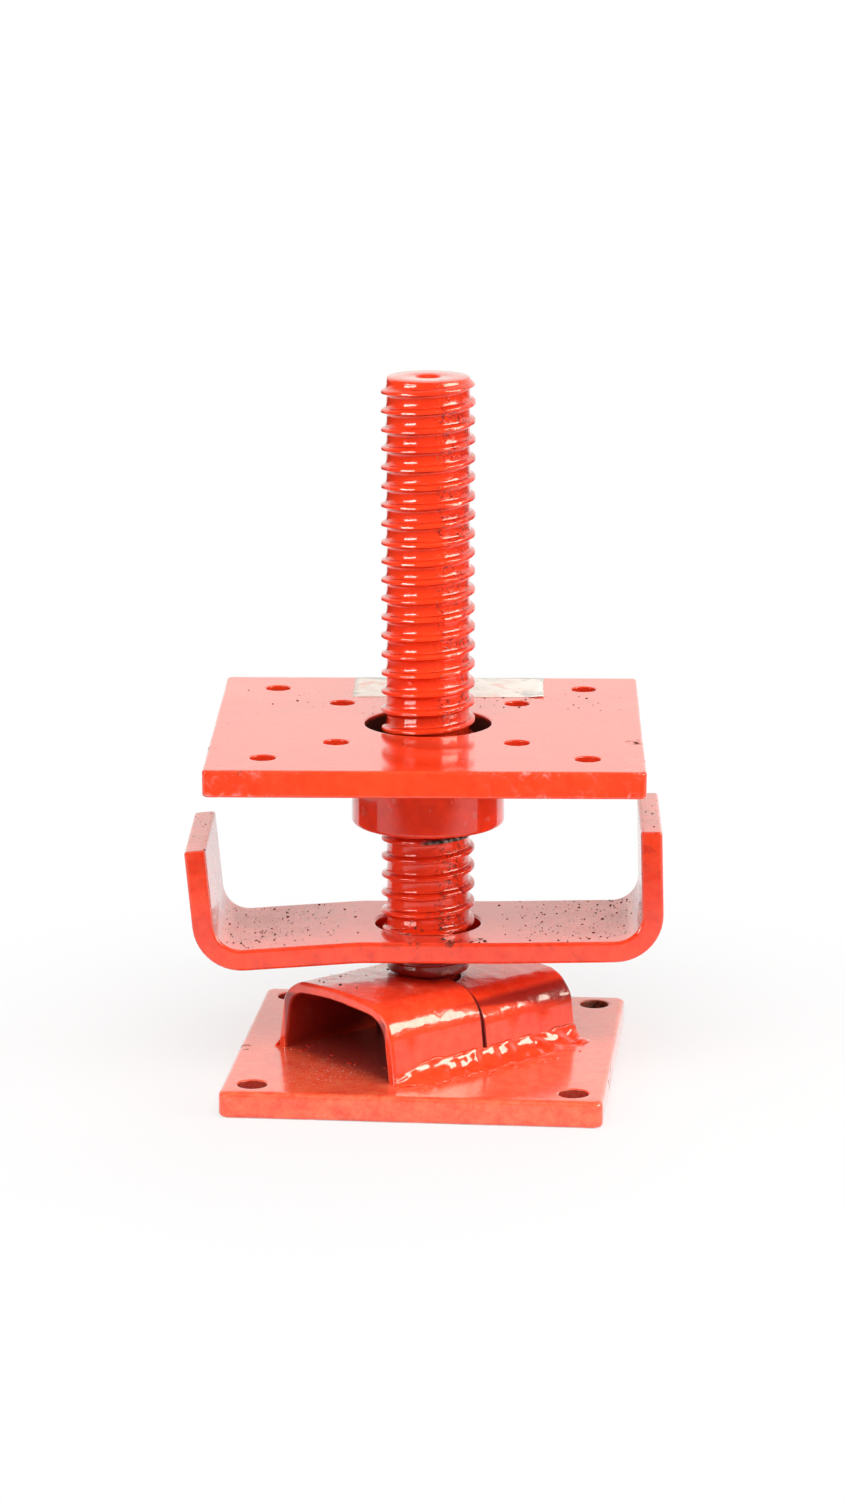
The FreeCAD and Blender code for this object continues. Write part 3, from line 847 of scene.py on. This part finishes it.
class Finish:
    """Node tree of a material or of the surroundings."""

    def __init__(self, owner, place="Object"):
        owner.use_nodes = True
        self.owner = owner
        self.tree = owner.node_tree
        self.tree.nodes.clear()
        self.place = self.node("ShaderNodeTexCoord", out=place)

    def node(self, kind, settings=None, inputs=None, out=None):
        """Adds a node: its settings first, then the values or links of its sockets."""
        made = self.tree.nodes.new(kind)
        for key, value in (settings or {}).items():
            setattr(made, key, value)
        for key, value in (inputs or {}).items():
            if isinstance(key, int):
                socket = made.inputs[key]
            else:
                socket = next(s for s in made.inputs if s.enabled and s.name == key)
            if isinstance(value, Value):
                self.tree.links.new(value.socket, socket)
            else:
                socket.default_value = (*value, 1.0) if socket.type == "RGBA" else value
        found = [s for s in made.outputs if s.enabled and out in (None, s.name)]
        return Value(self, found[0]) if found else made

    def noise(self, size, detail=2.0, roughness=0.5, distortion=0.0):
        """Cloudy pattern with features of about that size in millimetres."""
        return self.node("ShaderNodeTexNoise", {}, {
            "Vector": self.place, "Scale": 1 / (size * MM), "Detail": detail,
            "Roughness": roughness, "Distortion": distortion,
        }, "Fac")

    def specks(self, size, radius, share):
        """Round specks on a grid of that size in millimetres; share is how many of the cells have one."""
        inputs = {"Vector": self.place, "Scale": 1 / (size * MM), "Randomness": 1.0}
        near = self.node("ShaderNodeTexVoronoi", dict(feature="F1"), inputs, "Distance")
        pick = self.node("ShaderNodeSeparateColor", {}, {"Color": near.also("Color")}, "Red")
        return near.step(radius / size, 0.6 * radius / size) * pick.step(1 - share, 1 - share + 0.02)

    def vector_math(self, operation, a, b=(0, 0, 0)):
        return self.node("ShaderNodeVectorMath", dict(operation=operation), {0: a, 1: b})

    def near(self, point, radius, soft=0.5):
        """Mask round a point of the frame in millimetres."""
        away = self.vector_math("DISTANCE", self.place, [c * MM for c in point])
        return away.step_mm(radius, radius * (1 - soft))

    def across(self):
        """Distance from the screw's axis in metres."""
        return self.vector_math("LENGTH", self.vector_math("MULTIPLY", self.place, (1, 1, 0)))

    def split(self, vector):
        parts = self.node("ShaderNodeSeparateXYZ", {}, {"Vector": vector})
        return [parts.also(i) for i in range(3)]

    def axes(self):
        """The three coordinates in metres."""
        return self.split(self.place)

    def turned_axes(self, degrees):
        """Coordinates along the sides of a piece that is turned about the screw."""
        return self.split(self.node("ShaderNodeMapping", dict(vector_type="POINT"), {
            "Vector": self.place, "Rotation": (0, 0, math.radians(-degrees)),
        }))

    def facing(self, axis):
        """1 where the surface faces along that axis, -1 where it faces the other way."""
        return self.split(self.node("ShaderNodeTexCoord", out="Normal"))[axis]

    def rays(self):
        """Masks for what is seen directly or through glass, and for what is mirrored."""
        path = self.node("ShaderNodeLightPath")
        return path.also("Is Camera Ray") | path.also("Is Transmission Ray"), path.also("Is Glossy Ray")

    def mix(self, mask, a, b):
        """Colour a, with colour b where the mask is 1."""
        settings = dict(data_type="RGBA", clamp_factor=True)
        return self.node("ShaderNodeMix", settings, {"Factor": mask, "A": a, "B": b})

    def bump(self, height, depth, normal=None):
        """Unevenness of that depth in millimetres, over another one if given."""
        inputs = {"Height": height, "Strength": 1.0, "Distance": depth * MM}
        if normal:
            inputs["Normal"] = normal
        return self.node("ShaderNodeBump", {}, inputs)

    def surface(self, **inputs):
        """Closes a material with one shader."""
        named = {key.replace("_", " "): value for key, value in inputs.items()}
        shader = self.node("ShaderNodeBsdfPrincipled", {}, named)
        self.node("ShaderNodeOutputMaterial", {}, {"Surface": shader})
        return self.owner


def new_finish(name):
    return Finish(bpy.data.materials.new(name))


def enamel(name, marks, peel, lump=None, blur=0.05, haze=0.0):
    """Thick sprayed enamel. marks gives masks for what spoils it and for painted shade, and lump a depth and
    a size.
    """
    f = new_finish(name)
    found = marks(f)
    cloud = f.noise(26, 3, 0.55)
    grain = f.noise(2.6, 3, 0.6)
    colour = f.mix(cloud.step(0.30, 0.52), ENAMEL_DEEP, ENAMEL)
    colour = f.mix(cloud.step(0.52, 0.78) * 0.5 + grain.step(0.55, 0.8) * 0.12, colour, ENAMEL_PALE)
    if haze:
        colour = f.mix(f.noise(3.2, 5, 0.7).step(0.15, 0.85) * haze, colour, HAZE)
    # Darker enamel where the paint is thin, and painted shade in holes, creases and under things
    if "thin_and_shade" in found:
        colour = f.mix(found["thin_and_shade"], colour, ENAMEL_THIN_AND_SHADE)
    roughness = 0.11 + 0.10 * f.noise(9, 3, 0.6).step(0.35, 0.8)
    pits = f.specks(3.4, 0.17, 0.10)
    spoiled_and_shaded = pits
    coat = 1 - pits
    height = 1 - 0.6 * pits
    metal = 0.0
    if "dust" in found:
        colour = f.mix(found["dust"], colour, DUST)
        roughness = roughness + found["dust"] * 0.34
        coat = coat - found["dust"] * 0.75
    # Grime, and painted shade, which darken the paint and take its coat away
    if "grime_and_shade" in found:
        spoiled_and_shaded = spoiled_and_shaded | found["grime_and_shade"]
    colour = f.mix(spoiled_and_shaded, colour, GRIME_AND_SHADE)
    if "chips" in found:
        bare = f.mix(f.noise(1.1, 3).step(0.42, 0.6), PRIMER, RUST)
        colour = f.mix(found["chips"], colour, bare)
        spoiled_and_shaded = spoiled_and_shaded | found["chips"]
        height = height - found["chips"]
    if "rust" in found:
        scale = f.mix(f.noise(0.9, 4).step(0.4, 0.65), RUST, RUST_DARK)
        colour = f.mix(found["rust"], colour, scale)
        spoiled_and_shaded = spoiled_and_shaded | found["rust"]
        height = height - 0.7 * found["rust"]
    roughness = roughness | spoiled_and_shaded * 0.95
    coat = coat & (1 - spoiled_and_shaded)
    if "steel" in found:
        worn = f.mix(f.noise(1.4, 3).step(0.40, 0.6), STEEL, STEEL_DARK)
        colour = f.mix(found["steel"], colour, worn)
        metal = found["steel"] * 0.9
        coat = coat & (1 - found["steel"])
        roughness = roughness | found["steel"] * 0.32
    normal = f.bump(f.noise(4.2, 2, 0.45) * 0.75 + f.noise(1.5, 2, 0.5) * 0.25, peel)
    if lump:
        depth, size = lump
        lumps = f.noise(size, 3, 0.55).step(0.35, 0.8)
        if "lumps" in found:
            lumps = lumps * found["lumps"]
        normal = f.bump(lumps, depth, normal)
    return f.surface(
        Base_Color=colour, Roughness=roughness, Metallic=metal, Normal=f.bump(height, 0.10, normal),
        Coat_Weight=coat, Coat_Roughness=blur, Coat_IOR=1.5, IOR=1.5, Specular_IOR_Level=0.25,
    )


def paper(name):
    """Blank paper, yellowed, smudged and rubbed through in places."""
    f = new_finish(name)
    fibre = f.noise(0.5, 3, 0.6)
    stain = f.noise(9, 4, 0.6)
    rubbed = f.noise(11, 5, 0.6, 0.3)
    colour = f.mix(stain.step(0.40, 0.70), PAPER, PAPER_STAINED)
    colour = f.mix(rubbed.step(0.56, 0.66) * 0.6, colour, PAPER_RUBBED)
    colour = f.mix(rubbed.step(0.46, 0.36) * 0.5, colour, PAPER_SMUDGED)
    colour = f.mix(fibre.step(0.5, 0.8) * 0.2, colour, PAPER_FIBRE)
    normal = f.bump(fibre, 0.02, f.bump(stain, 0.15))
    return f.surface(
        Base_Color=colour, Roughness=0.38 + 0.2 * fibre, Normal=normal, Coat_Weight=0.25, Coat_Roughness=0.2,
    )


def grains(name):
    """Dry dirt, black to brown from grain to grain."""
    f = new_finish(name)
    tone = f.noise(3.0, 2)
    colour = f.mix(tone.step(0.45, 0.60), GRAIN_BLACK, GRAIN_BROWN)
    return f.surface(Base_Color=colour, Roughness=0.75 + 0.2 * tone, Normal=f.bump(f.noise(0.3, 2), 0.05))


def plate_marks(f, side, turn, spots, dust_from, dustiness):
    """Wear of a plate: chips along its edges and at some spots, dust on its top, and painted shade on the
    walls of its holes.
    """
    x, y, _ = f.turned_axes(turn)
    reach = abs(x) | abs(y)
    half = side / 2
    spoil = f.noise(3.2, 4, 0.65)
    rim = reach.step_mm(half - 2.2, half - 0.3)
    chips = rim * spoil.step(0.60, 0.66) * f.noise(17, 2).step(0.46, 0.58)
    for point, radius in spots:
        chips = chips | f.near(point, radius) * spoil.step(0.52, 0.58)
    up = f.facing(2)
    # Painted shade on the walls of the holes, not on the outer sides
    walls = abs(up).step(0.75, 0.45) * reach.step_mm(half - 3, half - 4)
    cloudy = f.noise(30, 4, 0.6).step(0.42, 0.75)
    fine = f.noise(0.7, 2).step(0.35, 0.75)
    behind = y.step_mm(-0.5 * dust_from, dust_from)
    dust = up.step(0.85, 0.97) * cloudy * (0.4 + 0.6 * fine) * dustiness * (0.15 + 0.85 * behind)
    return dict(dust=dust, chips=chips, thin_and_shade=walls * 0.35)


def top_plate_marks(f):
    """Wear of the top plate, with the wall of its wide hole darkened almost to black, and scuffed corners."""
    spots = (((-63, -40, 107), 7), ((-62, -8, 107), 5), ((63, -20, 107), 4), ((62, 5, 107), 5))
    found = plate_marks(f, PLATE_SIDE, PLATE_TURN, spots, 30, 0.55)
    x, y, z = f.axes()
    ragged = f.noise(3.0, 3) * (1.6 * MM)
    # The wall of the wide hole is darkened almost to black, with a ragged top
    wall = f.across().step_mm(PLATE_HOLE_R + 0.8, PLATE_HOLE_R + 0.4)
    wall = wall * (z + ragged).step_mm(Z_PLATE_TOP + 0.5, Z_PLATE_TOP - 0.6)
    found["grime_and_shade"] = wall * 0.95
    found["chips"] = found["chips"] * (f.noise(19, 2).step(0.52, 0.58) * abs(x).step_mm(36, 46))
    corners = f.near((-60, -66, 104), 34, 0.8) | f.near((56, -60, 104), 48, 0.8)
    corners = corners | f.near((64, 20, 104), 30, 0.8)
    edge = y.step_mm(-58.5, -60.0) | abs(x).step_mm(60.0, 61.5)
    brims = z.step_mm(Z_PLATE_TOP - 2.7, Z_PLATE_TOP - 0.6) | z.step_mm(Z_PLATE + 2.0, Z_PLATE + 0.5)
    scuffs = corners * edge * (0.25 + 0.75 * brims) * f.noise(3.4, 6, 0.75, 0.8).step(0.50, 0.75)
    found["dust"] = found["dust"] | scuffs * 0.8
    return found


def base_marks(f):
    """Wear of the base plate, with dirt at the ends of the saddle's tunnel and rust in one hole, and painted
    shade in its holes and under the saddle.
    """
    found = plate_marks(f, BASE_SIDE, 0, (((-55, -10, 8), 4),), 20, 0.5)
    u, v, _ = f.turned_axes(SADDLE_TURN)
    under = abs(u).step_mm(25.0, 23.5)
    tunnel = under * abs(v).step_mm(41, 30)
    tunnel_ends = under * abs(abs(v) - 30 * MM).step_mm(6, 2)
    crumbs = f.noise(0.6, 2).step(0.60, 0.68) * 0.5 + f.specks(1.3, 0.26, 0.30)
    haze = f.noise(1.1, 3, 0.7).step(0.30, 0.75) * 0.08
    found["dust"] = found["dust"] | f.near((-30, -34, 8), 22, 0.7) * crumbs | haze
    # Painted shade: darker still on the walls of the holes, and dark on the floor under the saddle
    found["thin_and_shade"] = found["thin_and_shade"] * 2.2 | tunnel * 0.9
    dirt = f.specks(1.3, 0.30, 0.30) | f.noise(0.8, 3, 0.7).step(0.60, 0.68)
    # Grit at the tunnel's ends, and a little more painted shade all through the tunnel
    found["grime_and_shade"] = tunnel_ends * dirt | tunnel * 0.10
    _, y, _ = f.axes()
    found["chips"] = found["chips"] * f.noise(23, 2).step(0.55, 0.62) * y.step_mm(-52, -46)
    found["rust"] = f.near((47.5, 47.5, 5), 6.5, 0.4) * f.noise(2.0, 4, 0.6).step(0.40, 0.48)
    return found


def screw_marks(f):
    """Wear of the screw: bare steel under the nut and flecks on the right; also painted shade in the creases
    beside the ridge and just under the handle.
    """
    x, y, z = f.axes()
    lumps = 0.25 + x.step_mm(-2, 6) * 0.75
    under_nut = z.step_mm(Z_COLLAR - 5.8, Z_COLLAR - 4.4) & z.step_mm(Z_COLLAR + 2, Z_COLLAR + 1)
    ridge = (f.across() + f.noise(1.6, 3) * (0.6 * MM)).step_mm(CREST_R - 0.7, CREST_R - 0.4)
    steel = under_nut * x.step_mm(-2, 2) * ridge
    low = f.near((5, -13, 46.5), 9, 0.9) | f.near((-2, -13, 47.5), 6, 0.9)
    grime_and_shade = low * f.noise(1.5, 4, 0.65).step(0.55, 0.63)
    groups = f.noise(7, 2).step(0.42, 0.52) * x.step_mm(2, 5)
    chips = f.noise(1.1, 4, 0.65).step(0.62, 0.65) * groups
    flecks = f.noise(1.3, 4, 0.65, 0.6).step(0.545, 0.585) * groups * 0.8
    # Painted shade on the screw just under the handle
    shade = z.step_mm(Z_HANDLE, Z_HANDLE - 1.6)
    along = ((z - THREAD_START * MM) / (PITCH * MM) - y.angle_from(x) / math.tau).fraction()
    on_thread = z.step_mm(Z_HANDLE - 1.6, Z_HANDLE + 1.4) * z.step_mm(Z_SCREW_TOP - 1, Z_SCREW_TOP - 2)
    # Painted shade in the creases under and over the ridge
    under_ridge = along.step(0.035, 0.010) | along.step(0.955, 0.990)
    over_ridge = along.step(0.300, 0.325) * along.step(0.375, 0.345)
    broken = 0.35 + 0.65 * f.noise(5, 3).step(0.35, 0.6)
    creases = on_thread * broken * (under_ridge * 0.9 | over_ridge * 0.7)
    # Dark flecks, with the painted shade in the creases and under the handle
    thin_and_shade = shade | creases | flecks
    # A little of the painted shade under the handle also goes with the grime
    return dict(lumps=lumps, steel=steel, grime_and_shade=grime_and_shade | shade * 0.25, chips=chips, thin_and_shade=thin_and_shade)


def handle_marks(f):
    """Wear of the handle: dust and specks on top and inside the arms, spilt dirt, thin paint on the edges."""
    x, y, z = f.turned_axes(HANDLE_TURN)
    half_width = BAR_WIDTH / 2
    top = f.facing(2).step(0.6, 0.95)
    ends = abs(x).step_mm(18, 55)
    inner = (x * f.facing(0)).step_mm(-30, -50)
    fine = f.noise(0.6, 3, 0.7).step(0.35, 0.7)
    cloudy = f.noise(14, 4, 0.65)
    dust = top * (0.30 + 0.55 * ends * cloudy.step(0.3, 0.6)) * (0.55 + 0.45 * fine)
    dust = dust * (0.30 + 0.70 * (y + 6 * MM * cloudy).step_mm(-21, -6))
    dust = dust | inner * (0.30 + 0.25 * fine)
    specks = f.specks(2.6, 0.42, 0.16) | f.specks(1.5, 0.26, 0.18)
    specks = specks * (top | inner) * (0.25 + 0.75 * ends)
    spill = f.near((9, -22, 46), 5, 0.8) | f.near((-2, -24, 45), 3, 0.8) | f.near((17, -19, 46), 2.5, 0.8)
    grime_and_shade = specks | spill * f.noise(1.6, 4, 0.65).step(0.52, 0.58)
    edge = abs(y).step_mm(half_width - 1.4, half_width - 0.2)
    chips = edge * f.noise(2.4, 4, 0.65).step(0.74, 0.77)
    patches = f.noise(5.0, 4, 0.6, 0.6).step(0.50, 0.58) * (0.4 + 0.6 * f.noise(24, 2).step(0.4, 0.6))
    thin_and_shade = abs(y).step_mm(half_width - 0.7, half_width - 0.2) * patches * 0.28
    return dict(dust=dust, grime_and_shade=grime_and_shade, chips=chips, lumps=0.25 + 0.75 * z.step_mm(50, 60), thin_and_shade=thin_and_shade)


def saddle_marks(f):
    """Wear of the saddle: specks on its roof, and painted shade inside it and in its seam."""
    _, _, z = f.axes()
    u, v, _ = f.turned_axes(SADDLE_TURN)
    up = f.facing(2)
    roof = up.step(0.8, 0.98)
    dust = roof * f.noise(0.8, 3, 0.7).step(0.50, 0.75) * 0.10
    specks = f.specks(2.4, 0.30, 0.14) * roof * f.across().step_mm(30, 20)
    # Painted shade in the gap of the seam
    seam = abs(v).step_mm(SADDLE_SEAM + 0.1, SADDLE_SEAM - 0.3) * abs(u).step_mm(29, 27)
    # Painted shade inside the saddle and on its faces that look down
    inside = abs(u).step_mm(24, 23) * z.step_mm(26.8, 25.2) | up.step(-0.2, -0.6)
    return dict(dust=dust, grime_and_shade=specks | seam * 0.35 | inside * 0.12, thin_and_shade=inside * 0.85 | seam * 0.9)


def bead_marks(f):
    """Wear of the welds: a few dark spots, and painted shade inside the saddle."""
    u, v, _ = f.turned_axes(SADDLE_TURN)
    # Painted shade on the welds inside the saddle
    inside = abs(u).step_mm(24.5, 23.5) * abs(v).step_mm(40, 32)
    return dict(grime_and_shade=f.noise(2.0, 4, 0.65).step(0.71, 0.75) * 0.8, thin_and_shade=inside * 0.85)


def gap_marks(f):
    """Darkens the handle's weld in the gap round the screw: fully where it lies below the bar's top, with
    dark specks higher up.
    """
    _, _, z = f.axes()
    above = z.step_mm(39.8, 40.2)
    sunk = above * z.step_mm(45.2, 44.4)
    return dict(grime_and_shade=sunk | f.noise(1.8, 4, 0.65).step(0.58, 0.64) * above)


def collar_marks(f):
    """Wear of the nut: faint smears, patchy darker paint that is also painted shade from the top plate, and a
    dark line under the plate.
    """
    _, _, z = f.axes()
    smear = f.noise(5, 4, 0.65).step(0.60, 0.66)
    joint = z.step_mm(Z_PLATE - 1.6, Z_PLATE - 0.4)
    # Patchy darker paint, which is also painted shade from the top plate above
    return dict(dust=smear * 0.15, grime_and_shade=joint, thin_and_shade=f.noise(7, 3, 0.6).step(0.25, 0.75) * 0.3)


def build():
    """All pieces of the jack with their finishes."""
    screw = enamel("enamel on the screw", screw_marks, peel=0.048, lump=(0.14, 1.3))
    base = enamel("enamel on the base plate", base_marks, peel=0.040, lump=(0.02, 0.9), blur=0.14, haze=0.60)
    plate = enamel("enamel on the top plate", top_plate_marks, peel=0.040, blur=0.08, haze=0.10)
    saddle = enamel("enamel on the saddle", saddle_marks, peel=0.136, lump=(0.06, 1.5), haze=0.22)
    bead = enamel("enamel on the welds", bead_marks, peel=0.064, haze=0.22)
    handle = enamel("enamel on the handle", handle_marks, peel=0.104, lump=(0.09, 2.6), haze=0.14)
    gap = enamel("enamel on the handle's weld", gap_marks, peel=0.064)
    collar = enamel("enamel on the collar", collar_marks, peel=0.056)
    dirt = grains("grains of dirt")
    threaded_screw(screw)
    base_plate(base)
    top_plate(plate, dirt)
    left, right = SADDLE_HEIGHT, SADDLE_HEIGHT - SADDLE_RIGHT_DROP
    saddle_half("saddle_left_painted", -1, left, SADDLE_LEFT_TURN, saddle, dirt, "saddle_left")
    saddle_half("saddle_right_painted", 1, right, SADDLE_RIGHT_TURN, saddle, dirt, "saddle_right")
    saddle_weld("weld_bead_front", "saddle_weld_front", bead, **FRONT_WELD)
    saddle_weld("weld_bead_rear", "saddle_weld_rear", bead, **REAR_WELD)
    bent_handle(handle, dirt)
    ring_weld("weld_bead_handle", "spindle", "handle_weld", gap, HANDLE_WELD_STEPS, handle_weld_section)
    nut_collar(collar)
    ring_weld("weld_bead_nut", "lift", "nut_weld", bead, NUT_WELD_STEPS, nut_weld_section)
    blank_label(paper("blank label paper"))


def sky():
    """Surroundings that are white to the eye and behind the jack, and dim in front of it."""
    world = bpy.data.worlds.new("white surroundings")
    bpy.context.scene.world = world
    f = Finish(world, "Generated")
    seen, mirrored = f.rays()
    _, behind, _ = f.axes()
    level = seen | mirrored * (0.10 + 0.90 * behind.step(0.05, 0.55)) | (1 - mirrored) * 0.30
    tint = f.mix(seen, WARM_WHITE, WHITE)
    light = f.node("ShaderNodeBackground", {}, {"Color": tint, "Strength": level})
    f.node("ShaderNodeOutputWorld", {}, {"Surface": light})


def floor():
    """White table that keeps the jack's shadow and falls dark to the front, where the room begins."""
    f = new_finish("white floor")
    seen, mirrored = f.rays()
    x, y, _ = f.axes()
    far = f.vector_math("LENGTH", f.place)
    room = y.step(-0.19, -0.32) | far.step(0.42, 0.66) * (abs(x) - 0.45 * y).step(0.05, 0.20)
    white = (seen | mirrored) * (0.70 + 0.30 * far.step(0.08, 0.24))
    card = f.node("ShaderNodeBsdfDiffuse", {}, {"Color": FLOOR_GREY})
    glow = f.node("ShaderNodeEmission", {}, {"Color": WHITE, "Strength": 1.0})
    dark = f.node("ShaderNodeEmission", {}, {"Color": WHITE, "Strength": 0.05})
    lit = f.node("ShaderNodeMixShader", {}, {0: white, 1: card, 2: glow})
    both = f.node("ShaderNodeMixShader", {}, {0: mirrored * room, 1: lit, 2: dark})
    f.node("ShaderNodeOutputMaterial", {}, {"Surface": both})
    bm = bmesh.new()
    bmesh.ops.create_grid(bm, x_segments=1, y_segments=1, size=FLOOR_HALF)
    mesh = bpy.data.meshes.new("studio_floor")
    bm.to_mesh(mesh)
    bm.free()
    mesh.materials.append(f.owner)
    table = bpy.data.objects.new("studio_floor", mesh)
    bpy.context.scene.collection.objects.link(table)


def stand(name, data, aim, azimuth, height, distance):
    """Stands a lamp or a camera off from what it is aimed at. Azimuth 0 is the front and 90 the right."""
    a, e = math.radians(azimuth), math.radians(height)
    back = Vector((math.sin(a) * math.cos(e), -math.cos(a) * math.cos(e), math.sin(e)))
    holder = bpy.data.objects.new(name, data)
    holder.location = Vector(aim) + back * distance
    holder.rotation_euler = (-back).to_track_quat("-Z", "Y").to_euler()
    bpy.context.scene.collection.objects.link(holder)
    return holder


def lamp(name, azimuth, height, distance, size, power, colour=WHITE, card=False):
    """Soft box aimed at the jack. A card is only seen mirrored in the paint; the others only light it."""
    light = bpy.data.lights.new(name, "AREA")
    light.shape = "RECTANGLE"
    light.size, light.size_y = size
    light.energy = power
    light.color = colour
    holder = stand(name, light, LAMP_AIM, azimuth, height, distance)
    holder.visible_glossy = card
    holder.visible_diffuse = not card


def studio():
    """Floor, surroundings and soft boxes."""
    bpy.context.scene.view_settings.view_transform = "Standard"
    sky()
    floor()
    lamp("lamp above", 8.0, 52.0, 1.7, (1.40, 1.00), 27.0)
    lamp("lamp right", 80.0, 13.0, 1.4, (0.90, 0.50), 10.0)
    lamp("lamp left", -50.0, 25.0, 1.5, (0.80, 0.50), 6.0)
    lamp("lamp behind", 172.0, 28.0, 1.6, (1.00, 0.60), 9.0)
    lamp("card right", 71.0, 26.0, 1.1, (0.85, 0.44), 15.5, (1.0, 0.93, 0.78), card=True)
    lamp("card left", -46.0, 9.0, 1.3, (0.80, 0.14), 6.0, (1.0, 0.96, 0.90), card=True)


def camera():
    """Long lens, a little above and to the right of the front, aimed just left of the screw."""
    data = bpy.data.cameras.new("viewpoint")
    data.lens = LENS
    data.sensor_width = SENSOR_WIDTH
    a = math.radians(VIEW_AZIMUTH)
    aim = Vector((0, 0, VIEW_AIM_HEIGHT)) - Vector((math.cos(a), math.sin(a), 0)) * VIEW_AIM_LEFT
    bpy.context.scene.camera = stand("viewpoint", data, aim, VIEW_AZIMUTH, VIEW_HEIGHT, VIEW_DISTANCE)


build()
studio()
camera()
